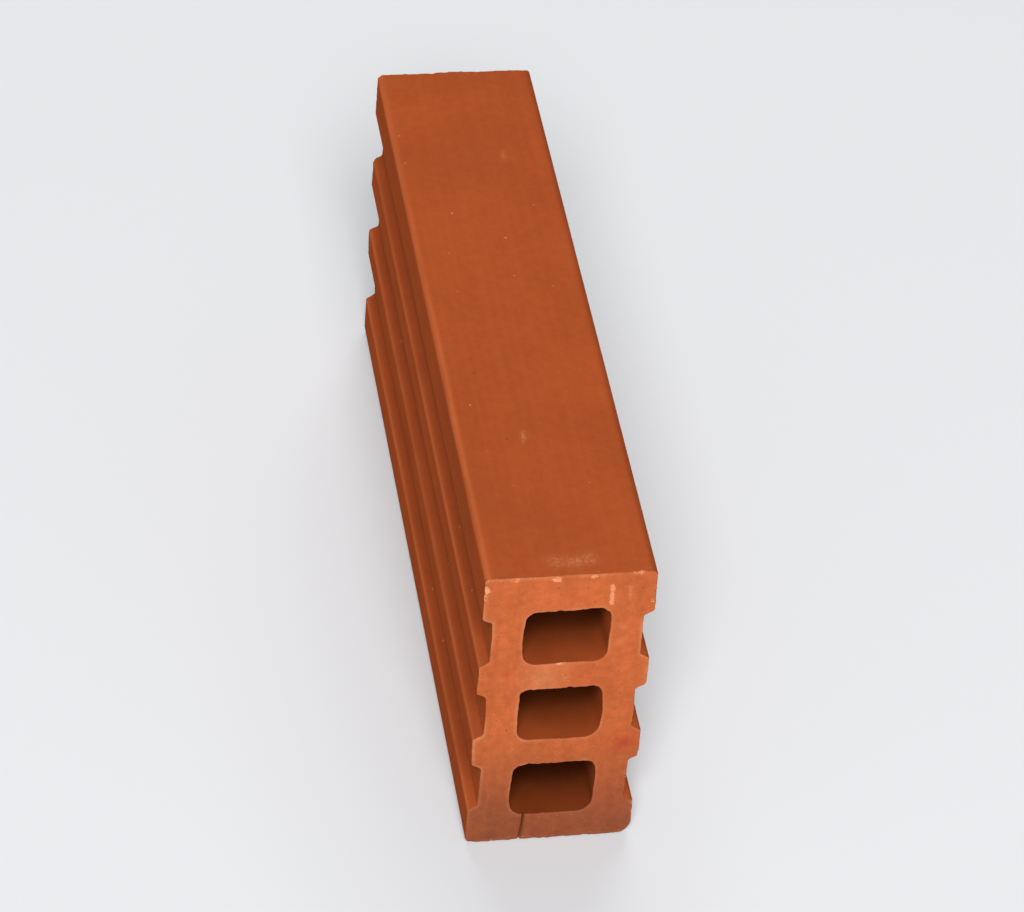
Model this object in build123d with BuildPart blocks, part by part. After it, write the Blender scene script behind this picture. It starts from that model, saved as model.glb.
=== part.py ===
"""Hollow terracotta facade tile, extruded and fired in one piece.

The tile stands on one of its narrow faces. X runs across its thickness, Y along the
extrusion and Z up its height. The origin is the middle of the face it stands on.
All sizes are in millimetres.
"""

import os
from math import atan2, degrees

from build123d import *

# Length that the wire cuts from the extruded column
tile_length = 250.0

# Cells that run through the tile, one above the other
cell_count = 3
cell_width = 25.0
cell_height = 21.0
cell_corner_radius = 3.0

# Fired clay beside the cells, above and below them, and between them
side_wall = 13.5
top_wall = 14.5
bed_wall = 11.5
web = 10.5

# Mortar grooves in both flanks, one beside each cell, with a rib between each two and
# plain bands above and below them
top_band = 16.5
bed_band = 14.5
rib_width = 11.0
groove_depth = 3.0
groove_draft = 1.75
groove_root_radius = 1.0
rib_edge_radius = 1.2

# Rounding that the die leaves on the four long arrises
arris_radius = 2.0

# Sizes of the section that follow from its cells and walls
tile_width = cell_width + 2 * side_wall
cell_pitch = cell_height + web
cell_column = cell_count * cell_pitch - web
tile_height = cell_column + top_wall + bed_wall

# Sizes of the grooves that follow from the height left between the two bands
groove_column = tile_height - top_band - bed_band
groove_mouth = (groove_column - (cell_count - 1) * rib_width) / cell_count
groove_pitch = groove_mouth + rib_width
groove_wall_angle = degrees(atan2(groove_depth, groove_draft))

# The section lies across the extrusion. In the sketch, Y is the height above the bed.
section_plane = Plane(origin=(0, 0, 0), x_dir=(1, 0, 0), z_dir=(0, -1, 0))

with BuildPart() as facade_tile:
    with BuildSketch(section_plane) as section:
        Rectangle(tile_width, tile_height, align=(Align.CENTER, Align.MIN))

        # Grooves open towards the flank and narrow towards their root
        for side in (-1, 1):
            with Locations((side * tile_width / 2, bed_band + groove_column / 2)):
                with GridLocations(1, groove_pitch, 1, cell_count):
                    Trapezoid(
                        groove_mouth,
                        groove_depth,
                        groove_wall_angle,
                        rotation=side * 90,
                        align=(Align.CENTER, Align.MIN),
                        mode=Mode.SUBTRACT,
                    )

        # Roots come first, while all their corners lie on one line beside each flank
        columns = section.vertices().group_by(Axis.X)
        fillet(columns[1] + columns[-2], groove_root_radius)

        # A flank's first and last corners are the arrises, and the rest are rib edges
        columns = section.vertices().group_by(Axis.X)
        left_flank = columns[0].sort_by(Axis.Y)
        right_flank = columns[-1].sort_by(Axis.Y)
        fillet(left_flank[1:-1] + right_flank[1:-1], rib_edge_radius)

        rows = section.vertices().group_by(Axis.Y)
        fillet(rows[0] + rows[-1], arris_radius)

        # Cells with the rounded corners of the die's cores
        with Locations((0, bed_wall + cell_column / 2)):
            with GridLocations(1, cell_pitch, 1, cell_count):
                RectangleRounded(
                    cell_width, cell_height, cell_corner_radius, mode=Mode.SUBTRACT
                )

    # The column runs the same way to both sides of the section, and is cut square
    extrude(amount=tile_length / 2, both=True)

facade_tile.part.label = "facade_tile"

os.makedirs("parts", exist_ok=True)
export_step(facade_tile.part, "parts/facade_tile.step")
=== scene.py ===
"""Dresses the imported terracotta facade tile: its worn clay body, the grit in it and a studio.

X runs across the tile's thickness, Y along its extrusion and Z up its height. The end at
the lowest Y is the front, which faces the camera. Everything is in metres, apart from the
lists of marks and the defaults of the lengths, which are in millimetres.
"""

import math

import bpy
import numpy as np
from bpy.props import FloatProperty, FloatVectorProperty, IntProperty, PointerProperty
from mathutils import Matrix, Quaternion, Vector, kdtree, noise
from mathutils.geometry import delaunay_2d_cdt


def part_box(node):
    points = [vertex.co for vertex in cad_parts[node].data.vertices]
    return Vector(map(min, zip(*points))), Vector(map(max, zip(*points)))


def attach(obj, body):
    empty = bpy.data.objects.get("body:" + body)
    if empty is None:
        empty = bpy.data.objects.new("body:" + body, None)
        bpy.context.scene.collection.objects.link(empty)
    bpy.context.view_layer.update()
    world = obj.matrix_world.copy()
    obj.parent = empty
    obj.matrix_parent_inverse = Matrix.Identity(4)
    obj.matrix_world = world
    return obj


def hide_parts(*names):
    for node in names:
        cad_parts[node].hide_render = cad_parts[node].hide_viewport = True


bl_info = {
    "name": "Hollow Terracotta Tile",
    "version": (1, 0, 0),
    "blender": (4, 5, 0),
    "location": "3D View > Sidebar > Clay",
    "description": "Builds an extruded, wire-cut and fired hollow tile with its wear",
    "category": "Add Mesh",
}

NODE = "facade_tile"
BODY = "root"
MM = 0.001

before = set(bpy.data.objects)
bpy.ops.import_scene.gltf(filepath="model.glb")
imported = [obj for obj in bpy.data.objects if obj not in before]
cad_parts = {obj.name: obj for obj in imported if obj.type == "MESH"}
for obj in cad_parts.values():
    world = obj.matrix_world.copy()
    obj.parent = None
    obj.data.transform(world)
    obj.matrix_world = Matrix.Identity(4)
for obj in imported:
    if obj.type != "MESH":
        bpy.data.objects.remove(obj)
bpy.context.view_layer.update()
tile_low, tile_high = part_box(NODE)


def length(name, description, default):
    """A size property in metres, with its default given in millimetres."""
    return FloatProperty(name=name, description=description, default=default * MM,
                         unit="LENGTH", precision=5)


def degrees(name, description, default):
    """An angle property, with its default given in degrees."""
    return FloatProperty(name=name, description=description, default=math.radians(default),
                         subtype="ANGLE")


def number(name, description, default):
    """A plain number property."""
    return FloatProperty(name=name, description=description, default=default)


def location(name, description, default):
    """A property for a point in metres."""
    return FloatVectorProperty(name=name, description=description, default=default, size=3,
                               subtype="TRANSLATION")


def colour(name, description, default):
    """A linear colour property."""
    return FloatVectorProperty(name=name, description=description, default=default,
                               subtype="COLOR", size=3, min=0.0, max=1.0)


class ClaySection(bpy.types.PropertyGroup):
    """The tile's section, apart from the overall size that the frame gives."""

    cell_count: IntProperty(name="Cells", description="Cells, one above the other", default=3)
    cell_width: length("Cell Width", "Clear width of a cell", 25.0)
    cell_height: length("Cell Height", "Clear height of a cell", 21.0)
    cell_corner: length("Cell Corner", "Radius of a cell's tighter corners", 3.0)
    cell_slack: length("Cell Slack", "Radius of a cell's slackest corner, the lower right", 4.2)
    cell_bulge: length("Cell Bulge", "How far the sides of a cell bow outwards", 0.7)
    bed_wall: length("Bed Wall", "Clay below the lowest cell", 11.5)
    web: length("Web", "Clay between two cells", 10.5)
    top_band: length("Top Band", "Plain band of the flanks above the grooves", 16.5)
    bed_band: length("Bed Band", "Plain band of the flanks below the grooves", 14.5)
    rib_width: length("Rib Width", "Clay between two grooves", 11.0)
    groove_depth: length("Groove Depth", "Depth of the mortar grooves", 3.0)
    groove_draft: length("Groove Draft", "How far a groove's wall leans", 1.75)
    root_radius: length("Root Radius", "Rounding at a groove's root", 1.0)
    rib_radius: length("Rib Radius", "Rounding of a rib's edges", 1.2)
    arris_radius: length("Arris Radius", "Rounding of the long arrises", 2.0)


class ClayWear(bpy.types.PropertyGroup):
    """How the die, the wire, the kiln and handling left the surface."""

    seed: IntProperty(name="Seed", description="Start of every random draw", default=11)
    wander: length("Wander", "How far the die's worn edges leave the plain section", 0.3)
    edge_wear: length("Edge Wear", "Mean rounding of the wire-cut edges", 0.6)
    edge_spread: length("Edge Spread", "How much that rounding varies", 0.6)
    chip_size: length("Chip Size", "Usual radius of a chip at a cut edge", 0.75)
    corner_wear: length("Corner Wear", "Rounding of the front end's lower right corner", 5.5)
    corner_reach: length("Corner Reach", "How far that rounding runs along the tile", 14.0)
    crack_width: length("Crack Width", "Width of the crack in the lower wall", 0.9)
    crack_depth: length("Crack Depth", "Depth of the crack at the front end", 2.0)
    crack_tail: length("Crack Tail", "How far the crack runs along the wall", 0.8)
    scratch_width: length("Scratch Width", "Width of the scratch beside the upper cell", 0.6)
    scratch_depth: length("Scratch Depth", "Depth of that scratch", 0.2)
    wave_depth: length("Wave Depth", "Depth of the long waves in the skin", 0.2)
    die_line_depth: length("Die Line Depth", "Depth of the lines drawn by the die", 0.07)
    grain_size: length("Grain Size", "Size of the torn grain on a cut end", 1.6)
    grain_depth: length("Grain Depth", "Depth of the torn grain on a cut end", 0.16)
    streak_depth: length("Streak Depth", "Depth of the wire's drag marks", 0.12)


class ClayGrit(bpy.types.PropertyGroup):
    """The coarse grains that the wire dragged out of the clay."""

    density: number("Density", "Grains on a square metre of cut clay", 90000.0)
    smallest: length("Smallest", "Radius of the smallest grains", 0.12)
    largest: length("Largest", "Radius of the largest grains", 0.34)


class ClayColours(bpy.types.PropertyGroup):
    """Colours of the fired clay."""

    skin: colour("Skin", "Clay that slid along the die", (0.370, 0.076, 0.0215))
    cut: colour("Cut", "Clay that the wire laid open", (0.570, 0.140, 0.0445))
    # The core colour is darker than the skin, partly the walls' own tone and partly painted shade
    # in the cells.
    core: colour("Core", "Walls of the cells", (0.24, 0.047, 0.012))
    stain: colour("Stain", "Iron-rich spots in the cut clay", (0.50, 0.080, 0.036))
    # This colour is painted shade that darkens the foot of the cut ends and of the grit.
    painted_foot_shade: colour("Painted Foot Shade", "Dirt on the foot of the ends", (0.235, 0.070, 0.034))
    chip: colour("Chip", "Fresh clay in a chip", (0.80, 0.36, 0.18))
    grit: colour("Grit", "Pale grains in the clay", (0.74, 0.36, 0.20))
    scorch: colour("Scorch", "Dark burnt specks", (0.14, 0.035, 0.015))


class StudioLook(bpy.types.PropertyGroup):
    """Floor, lamps and camera."""

    floor: colour("Floor", "Colour of the floor", (0.80, 0.815, 0.835))
    floor_bounce: colour("Floor Bounce", "Colour that the floor casts on the tile",
                         (0.39, 0.39, 0.395))
    backdrop: colour("Backdrop", "Colour seen behind the floor", (0.77, 0.80, 0.82))
    ambient: number("Ambient", "Level of the even light", 0.13)
    key_level: number("Key", "Level of the key lamp, where 1 shows a white card that faces it "
                      "as white", 1.02)
    key_size: length("Key Size", "Width of the key lamp", 3000.0)
    key_place: location("Key Place", "Place of the key lamp", (-0.75, -4.2, 4.3))
    back_level: number("Back", "Level of the lamp behind", 0.33)
    back_size: length("Back Size", "Width of the lamp behind", 3600.0)
    back_place: location("Back Place", "Place of the lamp behind", (0.5, 3.3, 3.5))
    azimuth: degrees("Azimuth", "Camera's turn round the tile", -11.67)
    elevation: degrees("Elevation", "Camera's rise above the floor", 40.72)
    roll: degrees("Roll", "Camera's tilt to the left", 4.75)
    distance: length("Distance", "From the camera to the point that it looks at", 1424.4)
    aim: location("Aim", "Point that the camera looks at", (0.0039, -0.0041, 0.0512))
    lens: FloatProperty(name="Lens", description="Focal length", default=156.0, unit="CAMERA")


# Outlines of the section

RUN_STEP = 0.7 * MM              # between two points of a straight run
ARC_STEP = 0.35 * MM             # and of an arc
LOWER_LEFT_SLACK = 1.15          # radii of a cell's corners, in shares of the tightest one's
UPPER_RIGHT_SLACK = 1.1
BULGE_MIDDLE = 0.4               # share of the bow that lies outside a cell's plain side
WANDER_LUMP = 11 * MM
WANDER_CONTRAST = 0.7
TIGHT_ARC = 2 * MM               # widest radius that counts as fully convex
OFFSET_PER_SEED = Vector((7.3, 3.1, 5.7))


def unit(vector):
    """The vector at length one."""
    return vector / np.linalg.norm(vector)


def straight_run(start, end, step):
    """Points between two ends, without the ends."""
    parts = max(1, math.ceil(np.linalg.norm(end - start) / step))
    return [start + (end - start) * k / parts for k in range(1, parts)]


def rounded_loop(corners, radii):
    """Points in order round a closed outline whose corners are rounded by arcs."""
    points = []
    for i, (corner, radius) in enumerate(zip(corners, radii)):
        back = unit(corners[i - 1] - corner)
        onward = unit(corners[(i + 1) % len(corners)] - corner)
        half = math.acos(np.clip(back @ onward, -1.0, 1.0)) / 2
        centre = corner + unit(back + onward) * radius / math.sin(half)
        start = corner + back * radius / math.tan(half) - centre
        end = corner + onward * radius / math.tan(half) - centre
        first = math.atan2(start[1], start[0])
        sweep = (math.atan2(end[1], end[0]) - first + math.pi) % (2 * math.pi) - math.pi
        steps = max(3, math.ceil(abs(sweep) * radius / ARC_STEP))
        turns = first + sweep * np.arange(steps + 1) / steps
        arc = centre + radius * np.stack([np.cos(turns), np.sin(turns)], 1)
        if points:
            points += straight_run(points[-1], arc[0], RUN_STEP)
        points += list(arc)
    points += straight_run(points[-1], points[0], RUN_STEP)
    return np.array(points)


def outline_corners(section):
    """Corners and radii of the outline, from the lower left one round to the left."""
    half_width = (tile_high.x - tile_low.x) / 2
    height = tile_high.z - tile_low.z
    count = section.cell_count
    grooved = height - section.top_band - section.bed_band
    mouth = (grooved - (count - 1) * section.rib_width) / count
    root = half_width - section.groove_depth
    right = []
    for k in range(count):
        low = section.bed_band + k * (mouth + section.rib_width)
        high = low + mouth
        right += [(half_width, low), (root, low + section.groove_draft),
                  (root, high - section.groove_draft), (half_width, high)]
    left = [(-x, z) for x, z in reversed(right)]
    groove = [section.rib_radius, section.root_radius, section.root_radius, section.rib_radius]
    arris = [section.arris_radius] * 2
    corners = [(-half_width, 0.0), (half_width, 0.0), *right,
               (half_width, height), (-half_width, height), *left]
    return np.array(corners), [*arris, *groove * count, *arris, *groove * count]


def cell_corners(section, k):
    """Corners and radii of one cell, counted from the lowest."""
    x = section.cell_width / 2
    low = section.bed_wall + k * (section.cell_height + section.web)
    high = low + section.cell_height
    corners = np.array([(-x, low), (x, low), (x, high), (-x, high)])
    tight, slack = section.cell_corner, section.cell_slack
    return corners, [tight * LOWER_LEFT_SLACK, slack, tight * UPPER_RIGHT_SLACK, tight]


def loop_normals(loop):
    """Unit normals that point to the right of a loop's course."""
    along = np.roll(loop, -1, axis=0) - np.roll(loop, 1, axis=0)
    normals = np.stack([along[:, 1], -along[:, 0]], 1)
    return normals / np.linalg.norm(normals, axis=1)[:, None]


def bulging(loop, amount):
    """A cell's loop with its two sides bowed outwards between its corners."""
    x, z = loop.T
    rise = 2 * (z - z.min()) / (z.max() - z.min()) - 1
    return np.stack([x * (1 + amount / x.max() * (BULGE_MIDDLE - rise ** 2)), z], 1)


def wandering(loop, least, most, seed):
    """A loop moved along its normals by amounts that change smoothly round it."""
    places = np.insert(loop, 1, 0.0, axis=1)
    share = np.clip(0.5 + WANDER_CONTRAST * rough(places, WANDER_LUMP, seed), 0, 1)
    return loop + loop_normals(loop) * (least + (most - least) * share)[:, None]


def convexity(loop):
    """How sharply a loop turns left at each point, from 0 on a flat run to 1 on a tight arc."""
    along = np.roll(loop, -1, axis=0) - loop
    heading = np.unwrap(np.arctan2(along[:, 1], along[:, 0]))
    turn = (heading - np.roll(heading, 1) + math.pi) % (2 * math.pi) - math.pi
    bend = turn / np.linalg.norm(loop - np.roll(loop, 1, axis=0), axis=1)
    bend = (np.roll(bend, 1) + bend + np.roll(bend, -1)) / 3
    return np.clip(bend * TIGHT_ARC, 0, 1)


def rough(points, lump, seed):
    """Smooth noise from about -1 to 1 at each point, with lumps of a given size."""
    shift = OFFSET_PER_SEED * seed
    return np.array([noise.noise(Vector(point) / lump + shift) for point in points])


def inside_clay(points, loops):
    """Whether each point of the section lies within the outline and outside the cells."""
    odd = np.zeros(len(points), bool)
    x, z = points.T
    for loop in loops:
        for (x0, z0), (x1, z1) in zip(loop, np.roll(loop, -1, axis=0)):
            if z0 != z1:
                odd ^= ((z0 > z) != (z1 > z)) & (x < x0 + (z - z0) * (x1 - x0) / (z1 - z0))
    return odd


def hex_grid(low, high, step):
    """Points of a grid of equal triangles over a box."""
    rows = np.arange(low[1], high[1], step * math.sqrt(3) / 2)
    columns = np.arange(low[0], high[0], step)
    return np.array([(x + step / 2 * (j % 2), z) for j, z in enumerate(rows) for x in columns])


# The section as one net of triangles

class Slit:
    """A narrow mark on the front end: a line of root points with an edge on each side."""

    STEP = 0.5 * MM

    def __init__(self, path, half_width):
        x, z, share = np.array(path).T
        x, z = x * MM, z * MM
        run = np.insert(np.cumsum(np.hypot(np.diff(x), np.diff(z))), 0, 0.0)
        steps = np.linspace(0, run[-1], math.ceil(run[-1] / self.STEP) + 1)
        x, z, share = (np.interp(steps, run, values)[:, None] for values in (x, z, share))
        across = x + share * half_width * np.array((-1.0, 0.0, 1.0))
        self.rows = np.stack([across, np.repeat(z, 3, axis=1)], -1)
        self.outlets = {}
        self.numbers = []

    def let_out(self, loops, which, row):
        """Moves three neighbouring points of a loop's flat run to where the slit meets it."""
        loop = loops[which]
        trio = self.rows[row]
        root = int(np.argmin(np.hypot(*(loop - trio[1]).T)))
        trio[:, 1] = loop[root][1]
        loop[root - 1:root + 2] = trio
        self.outlets[row % len(self.rows)] = (which, root)

    def covers(self, points):
        """Whether each point lies between the slit's two edges."""
        rows = self.rows[np.argsort(self.rows[:, 1, 1])]
        heights = rows[:, 1, 1]
        left, right = (np.interp(points[:, 1], heights, rows[:, side, 0]) for side in (0, 2))
        level = (points[:, 1] >= heights[0]) & (points[:, 1] <= heights[-1])
        return level & (points[:, 0] > left) & (points[:, 0] < right)


class Spread:
    """A growing set of numbered points that can tell whether a place is still free."""

    BOX = 0.6 * MM

    def __init__(self, points):
        self.points = []
        self.boxes = {}
        for point in points:
            self.add(point)

    def box_of(self, point):
        """The square of the section that a point falls in."""
        return math.floor(point[0] / self.BOX), math.floor(point[1] / self.BOX)

    def add(self, point):
        """Takes a point in and returns its number."""
        self.boxes.setdefault(self.box_of(point), []).append(point)
        self.points.append(point)
        return len(self.points) - 1

    def fill(self, points, clearance):
        """Takes in those points that keep a clearance, no wider than a box, from all others."""
        for point in points:
            column, row = self.box_of(point)
            near = [p for i in (-1, 0, 1) for j in (-1, 0, 1)
                    for p in self.boxes.get((column + i, row + j), ())]
            if all(math.dist(point, p) >= clearance for p in near):
                self.add(point)


class Section:
    """The points of the section, numbered loop by loop, and the triangles between them."""

    ROWS = (0.3 * MM, 0.7 * MM, 1.3 * MM, 2.0 * MM)    # distances from a loop
    ROW_CLEARANCE = 0.8          # in shares of the gap between two rows
    GRID_STEP = 0.75 * MM
    GRID_CLEARANCE = 0.62        # in shares of the grid's step
    MERGED = 1e-6                # distance, in millimetres, within which points are one

    def __init__(self, loops, slits):
        self.loops = loops
        self.starts = [sum(len(loop) for loop in loops[:k]) for k in range(len(loops) + 1)]
        self.ties = [(start + i, start + (i + 1) % len(loop))
                     for start, loop in zip(self.starts, loops) for i in range(len(loop))]
        self.spread = Spread(np.concatenate(loops))
        for slit in slits:
            self.add_slit(slit)
        self.fill_clay(slits)
        self.points = np.array(self.spread.points)
        self.triangles = self.triangulate()

    def add_slit(self, slit):
        """Numbers a slit's points and ties them along its two edges and its root."""
        for row, trio in enumerate(slit.rows):
            if row in slit.outlets:
                which, root = slit.outlets[row]
                first = self.starts[which] + root - 1
                slit.numbers.append([first, first + 1, first + 2])
            else:
                slit.numbers.append([self.spread.add(point) for point in trio])
        for line in zip(*slit.numbers):
            self.ties += list(zip(line[:-1], line[1:]))

    def fill_clay(self, slits):
        """Fills the clay with rows beside each loop and an even grid between them."""
        def fill(points, clearance):
            covered = np.any([slit.covers(points) for slit in slits], axis=0)
            self.spread.fill(points[~covered], clearance)

        for before, gap in zip((0.0, *self.ROWS), self.ROWS):
            for k, loop in enumerate(self.loops):
                row = loop + loop_normals(loop) * (gap if k else -gap)
                fill(row, self.ROW_CLEARANCE * (gap - before))
        outline = self.loops[0]
        grid = hex_grid(outline.min(axis=0), outline.max(axis=0), self.GRID_STEP)
        fill(grid[inside_clay(grid, self.loops)], self.GRID_CLEARANCE * self.GRID_STEP)

    def triangulate(self):
        """Triangles of point numbers over the clay, turning left as the points do."""
        points = [Vector(point) for point in self.points / MM]
        _, _, faces, sources, *_ = delaunay_2d_cdt(points, self.ties, [], 0, self.MERGED)
        triangles = np.array([[sources[v][0] for v in face] for face in faces])
        middles = self.points[triangles].mean(axis=1)
        return triangles[inside_clay(middles, self.loops)]


# The column of clay between its two ends

def graded_rings(span, first, growth, largest):
    """Ring distances over a span, close together at both ends and wide in the middle."""
    half = [0.0]
    step = first
    while half[-1] < span / 2:
        half.append(half[-1] + step)
        step = min(step * growth, largest)
    half = np.array(half) * (span / 2 / half[-1])
    return np.concatenate([half, span - half[-2::-1]])


class Column:
    """The tile as one closed surface: a wall on every loop and the section at both ends."""

    VALUES = ("cut", "core", "fresh", "pale", "dark", "stained", "convex", "from_rim")

    # First gap between the rings of a wall, its growth and the largest gap
    SKIN_RINGS = (0.4 * MM, 1.16, 4 * MM)
    CELL_RINGS = (0.4 * MM, 1.3, 9 * MM)

    # Radii of the worn edges, and the size and share of the lumps that vary them
    LEAST_WEAR = 0.08 * MM
    MOST_WEAR = 1.2 * MM
    WEAR_LUMPS = ((7 * MM, 0.7), (1.8 * MM, 0.8))

    # A chip in shares of its radius, and the size of the lumps in its hollow
    CHIP_STAND_OFF = 0.3         # from the edge out to its centre
    CHIP_BOX = 1.5               # round its centre, for the points that it may reach
    CHIP_ROUGHNESS = 0.35
    CHIP_HALO = 0.25             # fresh clay past its rim
    CHIP_FADE = 0.3
    CHIP_LUMP = 1.1 * MM

    CRACK_INSET = 0.8            # how far it sinks into a wall, in shares of its depth
    # The crack's darkness below is painted shade in the slit.
    CRACK_PAINTED_SHADE = (0.4, 1.0, 0.4)    # darkness of its two edges and, between them, its root

    def __init__(self, section):
        self.section = section
        self.parts = []
        self.faces = []
        self.count = 0
        self.grids = [self.add_wall(k) for k in range(len(section.loops))]
        self.front = self.add_end(-1)
        self.add_end(1)
        columns = [np.concatenate(part) for part in zip(*self.parts)]
        self.points, self.outward, self.anchors, self.cut, self.core, self.convex = columns
        self.from_rim = np.linalg.norm(self.points - self.anchors, axis=1)
        self.fresh, self.pale, self.dark, self.stained = np.zeros((4, self.count))

    def add_part(self, points, outward, anchors, cut, core, convex):
        """Appends points with their values and returns their numbers."""
        self.parts.append((points, outward, anchors, cut, np.full(len(points), core), convex))
        numbers = self.count + np.arange(len(points))
        self.count += len(points)
        return numbers

    def add_wall(self, k):
        """Appends the wall that one loop leaves along the whole length."""
        loop = self.section.loops[k]
        span = tile_high.y - tile_low.y
        rings = tile_low.y + graded_rings(span, *(self.CELL_RINGS if k else self.SKIN_RINGS))
        normals = loop_normals(loop) * (-1 if k else 1)
        points = np.array([(x, y, z) for y in rings for x, z in loop])
        outward = np.tile(np.insert(normals, 1, 0.0, axis=1), (len(rings), 1))
        anchors = points.copy()
        anchors[:, 1] = np.where(points[:, 1] < 0, tile_low.y, tile_high.y)
        cut = (points[:, 1] == anchors[:, 1]).astype(float)
        convex = np.tile(np.zeros(len(loop)) if k else convexity(loop), len(rings))
        grid = self.add_part(points, outward, anchors, cut, float(k > 0), convex)
        grid = grid.reshape(len(rings), len(loop))
        onward = np.roll(grid, -1, axis=1)
        quads = np.stack([grid[:-1], onward[:-1], onward[1:], grid[1:]], -1).reshape(-1, 4)
        self.faces += (quads if k else quads[:, ::-1]).tolist()
        return grid

    def add_end(self, side):
        """Appends the cut end on one side and returns the numbers of the section's points."""
        loop_count = self.section.starts[-1]
        edge_tree = kdtree.KDTree(loop_count)
        for i, (x, z) in enumerate(self.section.points[:loop_count]):
            edge_tree.insert((x, 0.0, z), i)
        edge_tree.balance()
        y = tile_low.y if side < 0 else tile_high.y
        points = np.insert(self.section.points[loop_count:], 1, y, axis=1)
        nearest = [edge_tree.find((x, 0.0, z))[1] for x, _, z in points]
        anchors = np.insert(self.section.points[nearest], 1, y, axis=1)
        outward = np.tile((0.0, side, 0.0), (len(points), 1))
        inner = self.add_part(points, outward, anchors, np.ones(len(points)), 0.0,
                              np.zeros(len(points)))
        rim = [grid[0 if side < 0 else -1] for grid in self.grids]
        numbers = np.concatenate([*rim, inner])
        faces = numbers[self.section.triangles]
        self.faces += (faces if side < 0 else faces[:, ::-1]).tolist()
        return numbers

    def wear_edges(self, wear):
        """Rounds the wire-cut edges by a radius that changes along them."""
        near = np.flatnonzero(self.from_rim < self.MOST_WEAR)
        places = self.anchors[near]
        swell = sum(share * rough(places, lump, wear.seed) for lump, share in self.WEAR_LUMPS)
        radius = wear.edge_wear + wear.edge_spread * swell
        radius = np.clip(radius, self.LEAST_WEAR, self.MOST_WEAR)
        run = np.minimum(self.from_rim[near], radius)
        depth = radius - np.sqrt(radius ** 2 - (radius - run) ** 2)
        inward = -self.outward[near]
        on_edge = self.from_rim[near] == 0
        depth[on_edge] = radius[on_edge] * (1 - math.sqrt(0.5))
        inward[on_edge, 1] = -np.sign(places[on_edge, 1])
        self.points[near] += inward * depth[:, None]

    def knock(self, k, spot, side, size, stretch, paleness, seed):
        """Breaks a chip out of an end at a spot beside a loop."""
        loop = self.section.loops[k]
        i = int(np.argmin(np.hypot(*(loop - spot).T)))
        edge = np.array((spot[0], tile_low.y if side < 0 else tile_high.y, spot[1]))
        along = unit(loop[(i + 1) % len(loop)] - loop[i - 1])
        turn = -1 if k else 1
        axes = np.array([(along[0], 0.0, along[1]), (0.0, side, 0.0),
                         (along[1] * turn, 0.0, -along[0] * turn)])
        radii = size * np.array((stretch, 1.0, 1.0))
        centre = edge + (axes[1] + axes[2]) * size * self.CHIP_STAND_OFF
        from_centre = np.abs(self.points - centre).max(axis=1)
        near = np.flatnonzero(from_centre < radii.max() * self.CHIP_BOX)
        local = (self.points[near] - centre) @ axes.T / radii
        reach = np.linalg.norm(local, axis=1)
        hollow = 1 + self.CHIP_ROUGHNESS * rough(self.points[near], self.CHIP_LUMP, seed)
        inside = reach < hollow
        pushed = local[inside] * (hollow[inside] / reach[inside])[:, None]
        pushed[:, 1:] = np.minimum(pushed[:, 1:], local[inside][:, 1:])
        self.points[near[inside]] = centre + pushed * radii @ axes
        fade = np.clip((hollow + self.CHIP_HALO - reach) / self.CHIP_FADE, 0, 1)
        self.fresh[near] = np.maximum(self.fresh[near], paleness * fade)

    def round_corner(self, wear):
        """Wears the lower right arris rounder towards the front end."""
        centre = np.array((tile_high.x - wear.corner_wear, tile_low.z + wear.corner_wear))
        edge = self.section.loops[0] - centre
        edge = edge[(edge[:, 0] >= 0) & (edge[:, 1] <= 0)]
        turns = np.arctan2(edge[:, 1], edge[:, 0])
        order = np.argsort(turns)
        reaches = np.linalg.norm(edge, axis=1)[order]
        local = self.points[:, [0, 2]] - centre
        reach = np.interp(np.arctan2(local[:, 1], local[:, 0]), turns[order], reaches)
        share = np.clip(1 - (self.points[:, 1] - tile_low.y) / wear.corner_reach, 0, 1)
        share *= (local[:, 0] > 0) & (local[:, 1] < 0)
        scale = 1 + share * (np.minimum(wear.corner_wear / reach, 1) - 1)
        self.points[:, [0, 2]] = centre + local * scale[:, None]

    def draw_crack(self, slit, wear):
        """Sinks a slit's root at the front end and along the walls that it runs out of, and marks
        the slit for painted shade.
        """
        depth, tail = wear.crack_depth, wear.crack_tail
        inset = self.CRACK_INSET * depth
        roots = self.front[[trio[1] for trio in slit.numbers]]
        low, high = sorted((slit.rows[0][1][1], slit.rows[-1][1][1]))
        share = (self.points[roots, 2] - low) / (high - low)
        self.points[roots, 1] = tile_low.y + depth
        self.points[roots, 2] = low + inset + share * (high - low - 2 * inset)
        for which, root in slit.outlets.values():
            line = self.grids[which][1:, root]
            run = self.points[line, 1] - tile_low.y
            line, run = line[run < tail], run[run < tail]
            share = (1 - run / tail)[:, None]
            self.points[line] -= self.outward[line] * inset * share
            self.points[line, 1] += depth * share[:, 0]
        # The crack's darkness is painted shade, carried to the material as a value.
        self.dark[self.front[np.array(slit.numbers)]] = self.CRACK_PAINTED_SHADE

    def draw_scratch(self, slit, depth):
        """Sinks a slit's root a little and makes the whole slit pale."""
        numbers = self.front[np.array(slit.numbers)]
        self.points[numbers[1:-1, 1], 1] += depth
        self.pale[numbers] = 1.0

    def stain(self, place, radius, strength):
        """Marks a round spot that fades outwards."""
        share = np.linalg.norm(self.points - place, axis=1) / radius
        self.stained += strength * np.exp(-share ** 2)

    def mesh(self, name):
        """The column as a Blender mesh, with its values as attributes."""
        mesh = bpy.data.meshes.new(name)
        mesh.from_pydata(self.points.tolist(), [], self.faces)
        for value in self.VALUES:
            attribute = mesh.attributes.new(value, "FLOAT", "POINT")
            attribute.data.foreach_set("value", getattr(self, value).astype(np.float32))
        return mesh


# The marks, with their places and radii in millimetres

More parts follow.
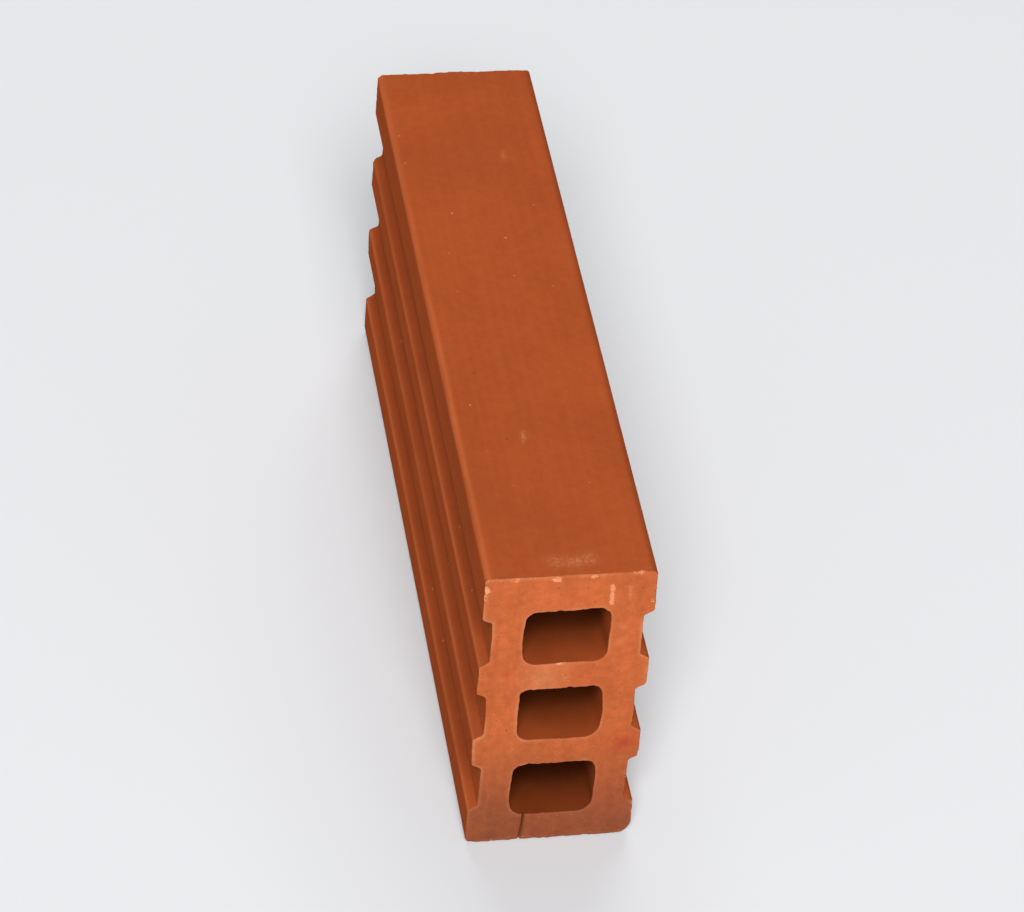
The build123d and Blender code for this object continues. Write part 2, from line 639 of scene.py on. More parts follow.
# Chips on the front end that handling left, on the outline (0) or a cell's edge: loop, X, Z,
# radius, stretch along the edge, paleness
FRONT_KNOCKS = [
    (0, -22.5, 109.0, 0.8, 1.6, 0.5),
    (0, -17.0, 108.8, 0.8, 1.8, 0.7),
    (0, -4.6, 108.3, 0.85, 1.4, 1.0),
    (0, 6.6, 108.5, 0.8, 1.4, 1.0),
    (0, 13.0, 109.4, 0.8, 1.5, 0.4),
    (0, 20.5, 109.3, 0.9, 1.8, 0.5),
    (0, -25.2, 108.4, 0.9, 1.3, 0.6),
    (0, -25.2, 105.8, 0.8, 1.9, 1.0),
    (0, -25.4, 102.4, 0.8, 1.5, 0.8),
    (0, 25.3, 109.3, 1.4, 1.2, 0.2),
    (0, 25.6, 107.0, 0.7, 1.4, 0.5),
    (0, 25.7, 103.2, 0.7, 1.8, 0.6),
    (0, 24.6, 97.8, 0.7, 1.1, 0.9),
    (0, 26.4, 34.2, 1.7, 1.2, 0.0),
    (0, 25.6, 13.5, 1.0, 1.2, 0.6),
    (0, 23.5, 0.6, 0.7, 1.4, 0.1),
    (0, 9.8, 0.0, 0.9, 1.8, 0.5),
    (0, -26.0, 74.3, 1.1, 1.1, 0.3),
    (0, -26.0, 70.5, 0.7, 1.3, 0.3),
    (0, -26.0, 64.2, 1.0, 1.1, 0.3),
    (0, -26.0, 44.2, 1.0, 1.2, 0.2),
    (0, -26.0, 34.5, 1.1, 1.1, 0.2),
    (0, -26.0, 14.3, 0.9, 1.2, 0.2),
    # The two chips on the top cell's lower lip are pale as a painted highlight along that lip.
    (3, -1.0, 74.3, 0.6, 2.6, 0.8),
    (3, -9.5, 74.5, 0.5, 2.0, 0.4),
]

# Iron-rich and, below zero, pale spots on the front end: X, Z, radius, strength
FRONT_STAINS = [(-17.0, 71.0, 1.0, 0.9), (20.6, 39.5, 2.8, 0.9), (17.0, 36.5, 1.8, 0.3),
                (-20.5, 92.0, 1.2, 0.4), (7.0, 5.0, 1.5, 0.4), (20.5, 6.5, 0.9, 0.8),
                # The first pale spot on this line, below the top cell, is a painted sheen.
                (-6.0, 69.5, 6.5, -0.26), (17.6, 104.0, 0.5, -0.3), (17.6, 103.0, 0.5, -0.35),
                (17.7, 102.0, 0.5, -0.3), (17.8, 100.9, 0.5, -0.35), (17.8, 99.9, 0.5, -0.2),
                (16.3, 88.0, 1.4, -0.2), (16.0, 82.0, 1.3, -0.15)]

# Pale scuffs on the top face: X, Y, radius, strength
TOP_SCUFFS = [(-4.0, -118.5, 2.6, -0.16), (1.5, -119.5, 2.2, -0.2), (6.0, -118.0, 2.4, -0.16),
              (-5.2, -61.0, 0.7, -0.3), (-5.1, -62.4, 0.7, -0.25), (16.0, -53.0, 0.9, -0.25),
              (9.8, 78.7, 1.0, -0.25)]

# The crack below the lowest cell and the scratch beside the upper one: X, Z, share of width
CRACK_PATH = [(-8.3, 11.5, 0.9), (-8.3, 9.4, 1.0), (-8.5, 7.2, 0.9), (-8.6, 4.9, 1.1),
              (-8.9, 2.4, 0.9), (-9.2, 0.0, 1.0)]
SCRATCH_PATH = [(12.3, 105.2, 0.4), (12.3, 104.2, 1.0), (12.4, 102.4, 0.6), (12.5, 100.4, 1.2),
                (12.5, 98.6, 1.3), (12.6, 97.4, 0.5)]

# Random chips at each end: how many there are on a loop, how pale they may be, and their
# sizes in shares of the usual one
OUTLINE_CHIPS, CELL_CHIPS = 44, 11
OUTLINE_PALENESS, CELL_PALENESS = 0.55, 0.25
CHIP_SIZES = (0.5, 1.3)
CHIP_STRETCHES = (1.0, 2.2)
UPPER_EDGE = 2 * MM              # how far below a cell's top its upper edge reaches
UPPER_SHARE = 0.6                # of a cell's chips, at least, that sit there


def knock_chips(column, wear):
    """Breaks the known chips out of the front end, and random ones out of both."""
    for k, x, z, size, stretch, paleness in FRONT_KNOCKS:
        spot = np.array((x, z)) * MM
        column.knock(k, spot, -1, size * MM, stretch, paleness, wear.seed)
    draw = np.random.default_rng(wear.seed)
    for side in (-1, 1):
        for k, loop in enumerate(column.section.loops):
            heights = loop[:, 1]
            upper = np.flatnonzero(heights > heights.max() - UPPER_EDGE)
            for _ in range(CELL_CHIPS if k else OUTLINE_CHIPS):
                any_point = int(draw.integers(len(loop)))
                upper_point = int(draw.choice(upper))
                i = upper_point if k and draw.random() < UPPER_SHARE else any_point
                size = wear.chip_size * draw.uniform(*CHIP_SIZES)
                stretch = draw.uniform(*CHIP_STRETCHES)
                paleness = draw.uniform(0.0, CELL_PALENESS if k else OUTLINE_PALENESS)
                column.knock(k, loop[i], side, size, stretch, paleness, wear.seed)


def make_column(shape, wear):
    """The tile's surface with its worn edges, chips, crack, scratch and stains."""
    outline = rounded_loop(*outline_corners(shape))
    loops = [wandering(outline, -wear.wander, 0.0, wear.seed)]
    for k in range(shape.cell_count):
        cell = bulging(rounded_loop(*cell_corners(shape, k)), shape.cell_bulge)
        loops.append(wandering(cell, -wear.wander, wear.wander, wear.seed + k))
    crack = Slit(CRACK_PATH, wear.crack_width / 2)
    crack.let_out(loops, 1, 0)
    crack.let_out(loops, 0, -1)
    scratch = Slit(SCRATCH_PATH, wear.scratch_width / 2)
    column = Column(Section(loops, [crack, scratch]))
    column.round_corner(wear)
    column.wear_edges(wear)
    knock_chips(column, wear)
    column.draw_crack(crack, wear)
    column.draw_scratch(scratch, wear.scratch_depth)
    for x, z, radius, strength in FRONT_STAINS:
        column.stain((x * MM, tile_low.y, z * MM), radius * MM, strength)
    for x, y, radius, strength in TOP_SCUFFS:
        column.stain((x * MM, y * MM, tile_high.z), radius * MM, strength)
    return column


# Node graphs

class Graph:
    """Adds nodes to a tree and sets or links their inputs."""

    def __init__(self, tree):
        self.tree = tree

    def node(self, kind, inputs=None, **settings):
        """Adds a node, with its settings and its inputs as values or as other outputs."""
        node = self.tree.nodes.new(kind)
        for name, value in settings.items():
            setattr(node, name, value)
        for key, value in (inputs or {}).items():
            if isinstance(value, bpy.types.NodeSocket):
                self.tree.links.new(value, node.inputs[key])
            else:
                node.inputs[key].default_value = value
        return node

    def math(self, operation, first, second, clamp=False):
        """A sum, product or the like of two numbers."""
        return self.node("ShaderNodeMath", {0: first, 1: second}, operation=operation,
                         use_clamp=clamp).outputs[0]

    def plus(self, first, second, clamp=False):
        """The sum of two numbers."""
        return self.math("ADD", first, second, clamp)

    def times(self, first, second, clamp=False):
        """The product of two numbers."""
        return self.math("MULTIPLY", first, second, clamp)

    def vector(self, operation, first, second):
        """A sum or product of two vectors, or a vector scaled by a number."""
        key = "Scale" if operation == "SCALE" else 1
        return self.node("ShaderNodeVectorMath", {0: first, key: second},
                         operation=operation).outputs[0]

    def axis(self, place, letter):
        """One axis of a place."""
        return self.node("ShaderNodeSeparateXYZ", {0: place}).outputs[letter]

    def noise(self, place, scale, detail=2.0, roughness=0.5):
        """Noise from 0 to 1, with lumps of one divided by the scale."""
        inputs = {"Vector": place, "Scale": scale, "Detail": detail, "Roughness": roughness}
        return self.node("ShaderNodeTexNoise", inputs).outputs["Fac"]

    def drawn_noise(self, place, scales):
        """Noise drawn out, with lumps of one divided by a scale along each axis."""
        return self.noise(self.vector("MULTIPLY", place, scales), 1.0, 3.0)

    def span(self, value, low, high, to_low=0.0, to_high=1.0):
        """A value eased from one range to another and held at its ends."""
        inputs = {0: value, 1: low, 2: high, 3: to_low, 4: to_high}
        return self.node("ShaderNodeMapRange", inputs,
                         interpolation_type="SMOOTHSTEP").outputs[0]

    def uneven(self, noise, low=0.0, high=1.0):
        """Noise, which seldom leaves the middle of its range, spread over a new one."""
        return self.span(noise, 0.3, 0.7, low, high)

    def mix(self, factor, first, second):
        """A colour between two."""
        return self.node("ShaderNodeMix", {0: factor, 6: first, 7: second},
                         data_type="RGBA").outputs[2]

    def tint(self, value, base, factor=1.0):
        """A colour times a value, as much as a factor says."""
        grey = self.node("ShaderNodeCombineColor", {0: value, 1: value, 2: value}).outputs[0]
        return self.node("ShaderNodeMix", {0: factor, 6: base, 7: grey}, data_type="RGBA",
                         blend_type="MULTIPLY").outputs[2]

    def object_place(self):
        """The place of a point in its object."""
        return self.node("ShaderNodeTexCoord").outputs["Object"]

    def attribute(self, name):
        """A number that the mesh carries."""
        return self.node("ShaderNodeAttribute", attribute_name=name).outputs["Fac"]

    def field(self, name):
        """A number that the mesh carries, in a geometry tree."""
        return self.node("GeometryNodeInputNamedAttribute", {"Name": name},
                         data_type="FLOAT").outputs[0]

    def draw(self, seed):
        """A random number from 0 to 1 for each point or instance."""
        return self.node("FunctionNodeRandomValue", {2: 0.0, 3: 1.0, 8: seed},
                         data_type="FLOAT").outputs[1]

    def surface(self, inputs):
        """Ends a material with a surface."""
        shader = self.node("ShaderNodeBsdfPrincipled", inputs)
        self.node("ShaderNodeOutputMaterial", {0: shader.outputs[0]})


def shade(base, factor=1.0):
    """A colour made darker or lighter, with its alpha."""
    return (*(min(1.0, channel * factor) for channel in base), 1.0)


def geometry_tree(name, inputs):
    """A new geometry tree with named inputs and one geometry output."""
    tree = bpy.data.node_groups.new(name, "GeometryNodeTree")
    tree.interface.new_socket("Geometry", in_out="OUTPUT", socket_type="NodeSocketGeometry")
    tree.interface.new_socket("Geometry", in_out="INPUT", socket_type="NodeSocketGeometry")
    for title, kind in inputs.items():
        tree.interface.new_socket(title, in_out="INPUT", socket_type=f"NodeSocket{kind}")
    return tree


def run_tree(piece, tree, values):
    """Runs a geometry tree on a piece and returns the plain mesh that it leaves."""
    modifier = piece.modifiers.new(tree.name, "NODES")
    modifier.node_group = tree
    for item in tree.interface.items_tree:
        if item.in_out == "INPUT" and item.name in values:
            modifier[item.identifier] = values[item.name]
    depsgraph = bpy.context.evaluated_depsgraph_get()
    evaluated = piece.evaluated_get(depsgraph)
    mesh = bpy.data.meshes.new_from_object(evaluated, preserve_all_data_layers=True,
                                           depsgraph=depsgraph)
    piece.modifiers.remove(modifier)
    return mesh


def finish_tree(graph, geometry, material):
    """Closes a tree with real geometry that carries one material."""
    real = graph.node("GeometryNodeRealizeInstances", {0: geometry}).outputs[0]
    dressed = graph.node("GeometryNodeSetMaterial", {"Geometry": real, "Material": material})
    graph.node("NodeGroupOutput", {0: dressed.outputs[0]})


# How many lumps of the relief a metre holds along X, Y and Z
WAVES = (22.0, 7.0, 22.0)
DIE_LINES = (420.0, 4.0, 420.0)
STREAKS = (500.0, 500.0, 28.0)

GRAIN_SKEW = 3.0                 # above one, most grains are small
FLATTEST = (0.7, 0.7, 0.35)      # a grain's shape, in shares of its radius
THICKEST = (1.3, 1.3, 0.7)
TONE_SEED = 3


def relief_tree():
    """Sinks the surface: waves and die lines in the skin, grain and drag marks in the cut."""
    tree = geometry_tree("fired clay relief", {
        "Wave Depth": "Float", "Die Line Depth": "Float", "Grain Size": "Float",
        "Grain Depth": "Float", "Streak Depth": "Float", "Sharp Angle": "Float",
        "Seed": "Float", "Material": "Material"})
    graph = Graph(tree)
    given = graph.node("NodeGroupInput").outputs
    position = graph.node("GeometryNodeInputPosition").outputs[0]
    shift = graph.node("ShaderNodeCombineXYZ", {0: given["Seed"], 1: given["Seed"]}).outputs[0]

    def lumps(scales, detail):
        place = graph.vector("ADD", graph.vector("MULTIPLY", position, scales), shift)
        return graph.noise(place, 1.0, detail)

    torn = graph.math("MAXIMUM", graph.field("cut"), graph.field("fresh"))
    smooth = graph.math("SUBTRACT", 1.0, torn)
    grain_scale = graph.math("DIVIDE", 1.0, given["Grain Size"])
    grain = graph.noise(graph.vector("ADD", position, shift), grain_scale, 3.0, 0.6)
    layers = [
        (lumps(WAVES, 1.0), given["Wave Depth"], smooth),
        (lumps(DIE_LINES, 2.0), given["Die Line Depth"], smooth),
        (grain, given["Grain Depth"], torn),
        (graph.span(lumps(STREAKS, 2.0), 0.45, 0.7), given["Streak Depth"], torn),
    ]
    depth = 0.0
    for value, most, where in layers:
        depth = graph.plus(depth, graph.times(graph.times(value, most), where))
    normal = graph.node("GeometryNodeInputNormal").outputs[0]
    inward = graph.vector("SCALE", normal, graph.times(depth, -1.0))
    sunk = graph.node("GeometryNodeSetPosition", {
        "Geometry": given["Geometry"], "Offset": inward}).outputs[0]
    smoothed = graph.node("GeometryNodeSetShadeSmooth", {
        "Geometry": sunk, "Shade Smooth": True}).outputs[0]
    angle = graph.node("GeometryNodeInputMeshEdgeAngle").outputs[0]
    is_sharp = graph.math("GREATER_THAN", angle, given["Sharp Angle"])
    sharp = graph.node("GeometryNodeSetShadeSmooth", {
        "Geometry": smoothed, "Selection": is_sharp, "Shade Smooth": False}, domain="EDGE")
    finish_tree(graph, sharp.outputs[0], given["Material"])
    return tree


def grit_tree():
    """Scatters flattened grains, half sunk, over the cut clay."""
    tree = geometry_tree("clay grit", {
        "Density": "Float", "Smallest": "Float", "Largest": "Float", "Seed": "Int",
        "Material": "Material"})
    graph = Graph(tree)
    given = graph.node("NodeGroupInput").outputs
    is_cut = graph.math("GREATER_THAN", graph.field("cut"), 0.9)
    scattered = graph.node("GeometryNodeDistributePointsOnFaces", {
        "Mesh": given["Geometry"], "Density": graph.times(given["Density"], is_cut),
        "Seed": given["Seed"]}).outputs
    grain = graph.node("GeometryNodeMeshIcoSphere", {"Radius": 1.0, "Subdivisions": 1})
    size = graph.node("ShaderNodeMapRange", {
        0: graph.math("POWER", graph.draw(given["Seed"]), GRAIN_SKEW), 3: given["Smallest"],
        4: given["Largest"]}).outputs[0]
    shape = graph.node("FunctionNodeRandomValue", {0: FLATTEST, 1: THICKEST},
                       data_type="FLOAT_VECTOR").outputs[0]
    grains = graph.node("GeometryNodeInstanceOnPoints", {
        "Points": scattered["Points"], "Instance": grain.outputs[0],
        "Rotation": scattered["Rotation"],
        "Scale": graph.vector("SCALE", shape, size)}).outputs[0]
    toned = graph.node("GeometryNodeStoreNamedAttribute", {
        "Geometry": grains, "Name": "tone", "Value": graph.draw(TONE_SEED)},
        domain="INSTANCE").outputs[0]
    finish_tree(graph, toned, given["Material"])
    return tree


# Finishes

# Height and strength of the painted shade at the foot.
FOOT_SHADE_TOP = 54 * MM
FOOT_SHADE_MOST = 0.84

# How many lumps of the colour a metre holds along X, Y and Z
FINE_DIE_LINES = (480.0, 6.0, 480.0)
RUBBINGS = (260.0, 22.0, 260.0)
DRAGS = (260.0, 260.0, 14.0)


def new_material(name):
    """A material with an empty graph."""
    material = bpy.data.materials.new(name)
    material.use_nodes = True
    material.node_tree.nodes.clear()
    return material


def specks(graph, place, scale, size, share):
    """Scattered dots: one in a share of the grid's boxes, each of a size within its box."""
    dots = graph.node("ShaderNodeTexVoronoi", {"Vector": place, "Scale": scale}).outputs
    chance = graph.node("ShaderNodeSeparateColor", {0: dots["Color"]}).outputs[0]
    chosen = graph.math("LESS_THAN", chance, share)
    return graph.times(graph.span(dots["Distance"], size, size * 0.4), chosen)


def painted_foot_shade_share(graph, height):
    """How much painted shade lies at a height: most at the foot and none above the middle."""
    return graph.span(height, FOOT_SHADE_TOP, 0.0, 0.0, FOOT_SHADE_MOST)


class ClayGraph(Graph):
    """The fired clay's graph, with the values and patterns that its layers share."""

    def __init__(self, tree, colours):
        super().__init__(tree)
        self.colours = colours
        self.place = self.object_place()
        self.height = self.axis(self.place, "Z")
        self.cut = self.attribute("cut")
        self.core = self.attribute("core")
        self.from_rim = self.attribute("from_rim")
        self.stained = self.attribute("stained")
        self.outside = self.math("SUBTRACT", 1.0, self.core)
        self.bleached = self.times(self.stained, self.times(self.outside, -1.0), clamp=True)
        self.die_lines = self.drawn_noise(self.place, FINE_DIE_LINES)
        self.patches = self.noise(self.place, 70.0, 3.0)
        self.clots = self.noise(self.place, 420.0, 4.0, 0.65)
        self.crumbs = self.noise(self.place, 1100.0, 3.0, 0.6)
        self.grain = self.noise(self.place, 1400.0, 4.0, 0.7)

    def skin(self):
        """Clay that slid along the die, outside and in the cells: blotched, lined and scuffed."""
        plain = self.colours.skin
        blotches = self.uneven(self.noise(self.place, 30.0, 4.0))
        skin = self.mix(blotches, shade(plain, 0.95), shade(plain, 1.05))
        skin = self.tint(self.uneven(self.die_lines, 0.975, 1.025), skin)
        clouds = self.noise(self.place, 300.0, 4.0, 0.7)
        skin = self.tint(self.uneven(clouds, 0.96, 1.04), skin)
        skin = self.mix(self.core, self.arrises_worn_and_painted_lit(skin), self.walls())
        scuffed = self.times(self.bleached, self.span(self.crumbs, 0.35, 0.65, 0.3, 1.7))
        return self.mix(scuffed, skin, shade(self.colours.chip))

    def arrises_worn_and_painted_lit(self, skin):
        """Skin with its long edges lighter towards the left, partly rubbed wear and partly
        painted highlight, and darker at the right as painted shade.
        """
        convex = self.attribute("convex")
        across = self.axis(self.place, "X")
        rubbings = self.drawn_noise(self.place, RUBBINGS)
        # Rubbed wear and painted highlight, fading out towards the right.
        rubbed_and_painted_highlight = self.times(self.span(rubbings, 0.35, 0.65, 0.25, 0.75), convex)
        rubbed_and_painted_highlight = self.times(rubbed_and_painted_highlight, self.span(across, -20 * MM, 20 * MM, 0.75, 0.0))
        skin = self.mix(rubbed_and_painted_highlight, skin, shade(self.colours.cut))
        # Painted shade on the right arris.
        painted_arris_shade = self.times(self.span(across, 21 * MM, 25 * MM), convex)
        return self.tint(0.72, skin, painted_arris_shade)

    def walls(self):
        """The walls of the cells, in painted shade: lighter at their mouths, darker inwards and
        darker towards the foot.
        """
        plain = self.colours.core
        walls = self.mix(self.noise(self.place, 90.0, 3.0), shade(plain, 0.75), shade(plain, 1.2))
        # Painted shade: lighter at a cell's mouth and darker deeper in.
        walls = self.tint(self.span(self.from_rim, 1 * MM, 20 * MM, 1.25, 0.36), walls)
        # Painted shade: darker in the lower cells.
        return self.tint(self.span(self.height, 50 * MM, 12 * MM, 1.0, 0.62), walls)

    def laid_open(self):
        """Clay that the wire tore: stained, bleached, darkened at the foot by painted shade,
        clotted and dragged.
        """
        plain = self.colours.cut
        clay = self.mix(self.uneven(self.patches), shade(plain, 0.94), shade(plain, 1.06))
        iron = self.times(self.span(self.noise(self.place, 45.0, 3.0), 0.5, 0.75), 0.25)
        iron = self.plus(iron, self.stained, clamp=True)
        clay = self.mix(iron, clay, shade(self.colours.stain))
        clay = self.mix(self.bleached, clay, shade(self.colours.chip))
        # Painted shade at the foot of the cut ends.
        foot_shaded = self.plus(painted_foot_shade_share(self, self.height), self.uneven(self.patches, -0.08, 0.08),
                           clamp=True)
        foot_shaded = self.times(foot_shaded, self.span(self.height, 66 * MM, 40 * MM))
        clay = self.mix(foot_shaded, clay, shade(self.colours.painted_foot_shade))
        clay = self.tint(self.uneven(self.clots, 0.91, 1.08), clay)
        drags = self.drawn_noise(self.place, DRAGS)
        return self.tint(self.span(drags, 0.35, 0.7, 0.97, 1.05), clay)

    def rim_highlights_and_specks(self, clay):
        """Clay with pale rims round its cut ends, partly worn edges and partly painted highlight
        that is weaker near the foot, and with dust and specks on it.
        """
        # Painted highlight and wear along the cut rims.
        rim_wear_and_highlight = self.times(self.span(self.from_rim, 1.8 * MM, 0.0, 0.0, 0.42), self.cut)
        rim_wear_and_highlight = self.times(rim_wear_and_highlight, self.span(self.patches, 0.35, 0.65, 0.15, 1.0))
        # Weaker towards the foot, in step with the painted shade there.
        rim_wear_and_highlight = self.times(rim_wear_and_highlight, self.span(self.height, 15 * MM, 50 * MM, 0.4, 1.0))
        clay = self.mix(rim_wear_and_highlight, clay, shade(self.colours.chip, 0.9))
        dust = self.times(self.span(self.from_rim, 5 * MM, 0.0, 0.0, 0.4),
                          specks(self, self.place, 900.0, 0.3, 0.14))
        pale = self.times(specks(self, self.place, 260.0, 0.15, 0.06), 0.45)
        for share in (dust, pale):
            clay = self.mix(self.times(share, self.outside), clay, shade(self.colours.grit))
        burnt = self.times(specks(self, self.place, 190.0, 0.1, 0.06), 0.6)
        return self.mix(burnt, clay, shade(self.colours.scorch))

    def damage(self, clay):
        """Clay with its pale chips and scratch, and with painted shade in its crack."""
        chips = self.plus(self.attribute("fresh"), self.uneven(self.clots, -0.3, 0.2))
        chips = self.plus(chips, self.uneven(self.crumbs, -0.3, 0.15))
        scratch = self.plus(self.attribute("pale"), self.uneven(self.crumbs, -0.45, 0.1))
        broken = self.math("MAXIMUM", self.span(chips, 0.2, 1.0),
                           self.span(scratch, 0.1, 0.9, 0.0, 0.9))
        clay = self.mix(broken, clay, shade(self.colours.chip))
        # The crack's dark colour is painted shade in the slit.
        painted_crack_shade = self.span(self.attribute("dark"), 0.1, 0.8, 0.0, 0.9)
        return self.mix(painted_crack_shade, clay, shade(self.colours.scorch, 1.5))

    def relief(self):
        """A normal for what is too fine for the mesh: grain, die lines and a fine tooth."""
        grain = self.times(self.grain, self.span(self.cut, 0.0, 1.0, 0.3, 1.0))
        coarse = self.plus(grain, self.times(self.die_lines, 0.35))
        tooth = self.noise(self.place, 2600.0)
        bump = self.node("ShaderNodeBump", {"Height": coarse, "Distance": 0.16 * MM})
        return self.node("ShaderNodeBump", {"Height": tooth, "Distance": 0.03 * MM,
                                            "Normal": bump.outputs[0]}).outputs[0]

    def dullness(self):
        """The roughness of the surface, highest on the cut ends."""
        return self.plus(self.span(self.cut, 0.0, 1.0, 0.75, 0.92),
                         self.uneven(self.grain, -0.05, 0.05), clamp=True)


def fired_clay(colours):
    """Fired clay: skin smoothed by the die, clay torn by the wire, cell walls and chips."""
    material = new_material("fired clay")
    graph = ClayGraph(material.node_tree, colours)
    torn = graph.plus(graph.cut, graph.uneven(graph.clots, -0.25, 0.25))
    clay = graph.mix(graph.span(torn, 0.35, 0.65), graph.skin(), graph.laid_open())
    clay = graph.damage(graph.rim_highlights_and_specks(clay))
    graph.surface({"Base Color": clay, "Roughness": graph.dullness(), "Normal": graph.relief(),
                   "Specular IOR Level": 0.0, "Diffuse Roughness": 0.6})
    return material


def grit_finish(colours):
    """Grains of pale, clay-coloured and burnt grit."""
    material = new_material("clay grit")
    graph = Graph(material.node_tree)
    place = graph.object_place()
    tone = graph.attribute("tone")
    grain = graph.mix(graph.span(tone, 0.08, 0.16), shade(colours.scorch, 2.0),
                      shade(colours.cut, 0.92))
    grain = graph.mix(graph.span(tone, 0.86, 0.96), grain, shade(colours.grit, 0.9))
    # Painted shade darkens the grains towards the foot.
    grain = graph.mix(painted_foot_shade_share(graph, graph.axis(place, "Z")), grain, shade(colours.painted_foot_shade, 1.1))
    mottle = graph.uneven(graph.noise(place, 2200.0), 0.85, 1.1)
    graph.surface({"Base Color": graph.tint(mottle, grain), "Roughness": 0.9,
                   "Specular IOR Level": 0.0})
    return material


def seen_directly(graph):
    """One for rays that show a surface as it is, and zero for the light that it casts."""
    rays = graph.node("ShaderNodeLightPath").outputs
    seen = graph.math("MAXIMUM", rays["Is Camera Ray"], rays["Is Glossy Ray"])
    return graph.math("MAXIMUM", seen, rays["Is Transmission Ray"])


def floor_finish(look):
    """A matt pale floor that casts less light on the tile than it shows."""
    material = new_material("pale floor")
    graph = Graph(material.node_tree)
    shown = graph.mix(seen_directly(graph), shade(look.floor_bounce), shade(look.floor))
    graph.surface({"Base Color": shown, "Roughness": 0.9, "Specular IOR Level": 0.1})
    return material


def even_sky(look):
    """A world of even light that shows the camera a pale backdrop."""
    world = bpy.data.worlds.new("even sky")
    world.use_nodes = True
    world.node_tree.nodes.clear()
    graph = Graph(world.node_tree)
    light = graph.node("ShaderNodeBackground", {0: (1.0, 1.0, 1.0, 1.0), 1: look.ambient})
    backdrop = graph.node("ShaderNodeBackground", {0: shade(look.backdrop), 1: 1.0})
    sky = graph.node("ShaderNodeMixShader", {0: seen_directly(graph), 1: light.outputs[0],
                                             2: backdrop.outputs[0]})
    graph.node("ShaderNodeOutputWorld", {0: sky.outputs[0]})
    return world


# Operators

def link(name, data):
    """An object for a mesh, lamp or camera, in the scene."""
    piece = bpy.data.objects.new(name, data)
    bpy.context.scene.collection.objects.link(piece)
    return piece


class CLAY_OT_tile_body(bpy.types.Operator):
    """Builds the tile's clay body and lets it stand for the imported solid"""

    bl_idname = "clay.tile_body"
    bl_label = "Add Tile Body"

    SHARP_ANGLE = math.radians(55)

    def execute(self, context):
        wear = context.scene.clay_wear
        column = make_column(context.scene.clay_section, wear)
        body = link("tile_body", column.mesh("tile_body_column"))
        mesh = run_tree(body, relief_tree(), {
            "Wave Depth": wear.wave_depth, "Die Line Depth": wear.die_line_depth,
            "Grain Size": wear.grain_size, "Grain Depth": wear.grain_depth,
            "Streak Depth": wear.streak_depth, "Sharp Angle": self.SHARP_ANGLE,
            "Seed": float(wear.seed), "Material": fired_clay(context.scene.clay_colours)})
        mesh.name = "tile_body"
        body.data = mesh
        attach(body, BODY)
        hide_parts(NODE)
        return {"FINISHED"}


class CLAY_OT_grit(bpy.types.Operator):
    """Adds the coarse grains that stand in the cut ends"""

    bl_idname = "clay.grit"
    bl_label = "Add Grit"

    def execute(self, context):
        grit = context.scene.clay_grit
        piece = link("clay_grit", bpy.data.objects["tile_body"].data.copy())
        mesh = run_tree(piece, grit_tree(), {
            "Density": grit.density, "Smallest": grit.smallest, "Largest": grit.largest,
            "Seed": context.scene.clay_wear.seed,
            "Material": grit_finish(context.scene.clay_colours)})
        mesh.name = "clay_grit"
        places = np.empty(len(mesh.vertices) * 3)
        mesh.vertices.foreach_get("co", places)
        places = np.clip(places.reshape(-1, 3), tile_low, tile_high)
        mesh.vertices.foreach_set("co", places.ravel())
        mesh.update()
        piece.data = mesh
        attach(piece, BODY)
        return {"FINISHED"}


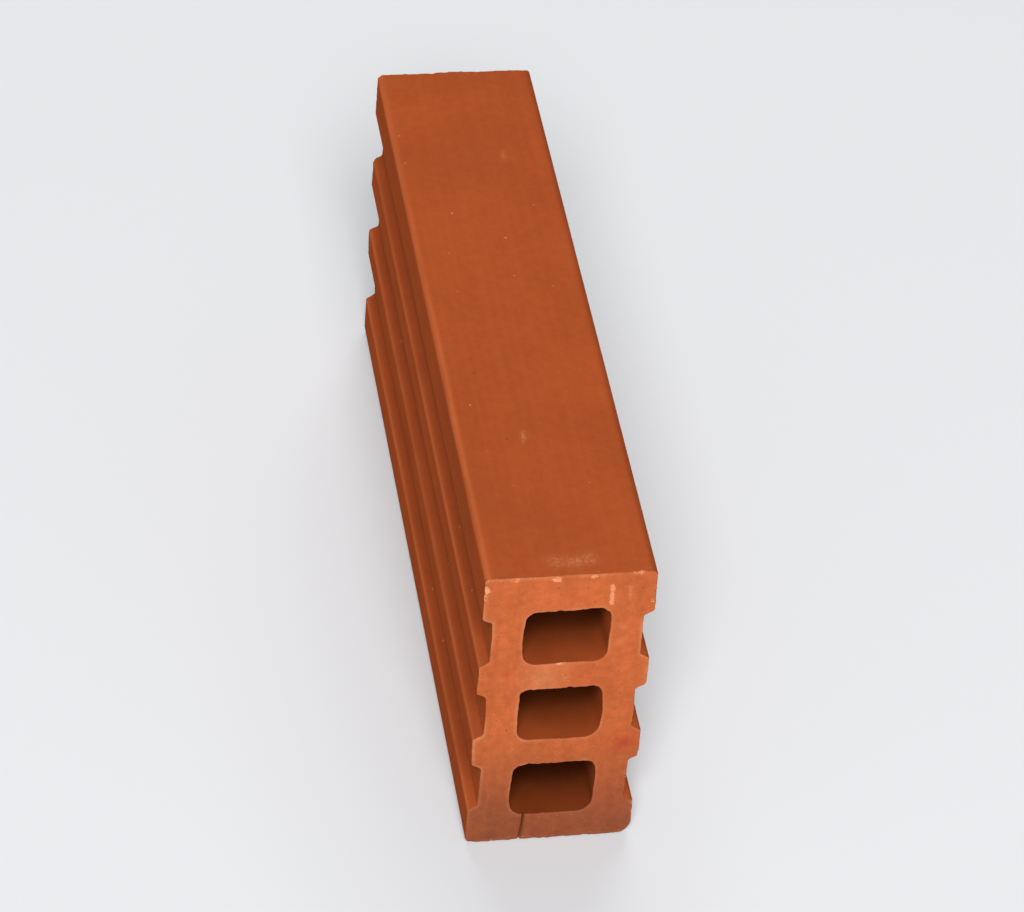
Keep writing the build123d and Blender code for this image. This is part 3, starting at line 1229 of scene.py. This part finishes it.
class CLAY_OT_studio(bpy.types.Operator):
    """Adds the floor, the two lamps, the even light and the camera"""

    bl_idname = "clay.studio"
    bl_label = "Add Studio"

    FLOOR_REACH = 6.0

    def execute(self, context):
        look = context.scene.studio_look
        context.scene.world = even_sky(look)
        context.scene.view_settings.view_transform = "Standard"
        self.add_floor(look)
        self.add_lamp("key", look.key_level, look.key_size, look.key_place)
        self.add_lamp("back", look.back_level, look.back_size, look.back_place)
        self.add_camera(context, look)
        return {"FINISHED"}

    def add_floor(self, look):
        """A wide level floor under the tile."""
        reach = self.FLOOR_REACH
        corners = [(x * reach, y * reach, 0.0) for x, y in ((-1, -1), (1, -1), (1, 1), (-1, 1))]
        mesh = bpy.data.meshes.new("floor")
        mesh.from_pydata(corners, [], [(0, 1, 2, 3)])
        mesh.materials.append(floor_finish(look))
        link("floor", mesh)

    def add_lamp(self, name, level, size, place):
        """A broad round lamp that faces the tile."""
        place = Vector(place)
        lamp = bpy.data.lights.new(name, "AREA")
        lamp.shape = "DISK"
        lamp.size = size
        lamp.energy = level * (math.pi * place.length) ** 2
        piece = link(name, lamp)
        piece.location = place
        piece.rotation_euler = (-place).to_track_quat("-Z", "Y").to_euler()

    def add_camera(self, context, look):
        """The camera, turned as in the photograph."""
        level = math.cos(look.elevation)
        back = Vector((math.sin(look.azimuth) * level, -math.cos(look.azimuth) * level,
                       math.sin(look.elevation)))
        lens = bpy.data.cameras.new("camera")
        lens.lens = look.lens
        camera = link("camera", lens)
        camera.location = Vector(look.aim) + back * look.distance
        turn = (-back).to_track_quat("-Z", "Y") @ Quaternion((0.0, 0.0, 1.0), look.roll)
        camera.rotation_mode = "QUATERNION"
        camera.rotation_quaternion = turn
        context.scene.camera = camera


class CLAY_PT_panel(bpy.types.Panel):
    """The operators and their settings"""

    bl_idname = "CLAY_PT_panel"
    bl_label = "Hollow Terracotta Tile"
    bl_space_type = "VIEW_3D"
    bl_region_type = "UI"
    bl_category = "Clay"

    def draw(self, context):
        for operator, groups in OPERATORS.items():
            self.layout.operator(operator.bl_idname)
            for name in groups:
                group = getattr(context.scene, name)
                for key in group.bl_rna.properties.keys():
                    if key not in ("name", "rna_type"):
                        self.layout.prop(group, key)


GROUPS = {"clay_section": ClaySection, "clay_wear": ClayWear, "clay_grit": ClayGrit,
          "clay_colours": ClayColours, "studio_look": StudioLook}
OPERATORS = {CLAY_OT_tile_body: ["clay_section", "clay_wear", "clay_colours"],
             CLAY_OT_grit: ["clay_grit"],
             CLAY_OT_studio: ["studio_look"]}


def register():
    """Registers the property groups, the operators and the panel."""
    for name, group in GROUPS.items():
        bpy.utils.register_class(group)
        setattr(bpy.types.Scene, name, PointerProperty(type=group))
    for operator in OPERATORS:
        bpy.utils.register_class(operator)
    bpy.utils.register_class(CLAY_PT_panel)


def unregister():
    """Takes away what register added."""
    bpy.utils.unregister_class(CLAY_PT_panel)
    for operator in OPERATORS:
        bpy.utils.unregister_class(operator)
    for name, group in GROUPS.items():
        delattr(bpy.types.Scene, name)
        bpy.utils.unregister_class(group)


def main():
    """Builds the dressed tile and its studio."""
    register()
    bpy.ops.clay.tile_body()
    bpy.ops.clay.grit()
    bpy.ops.clay.studio()


if __name__ == "__main__":
    main()
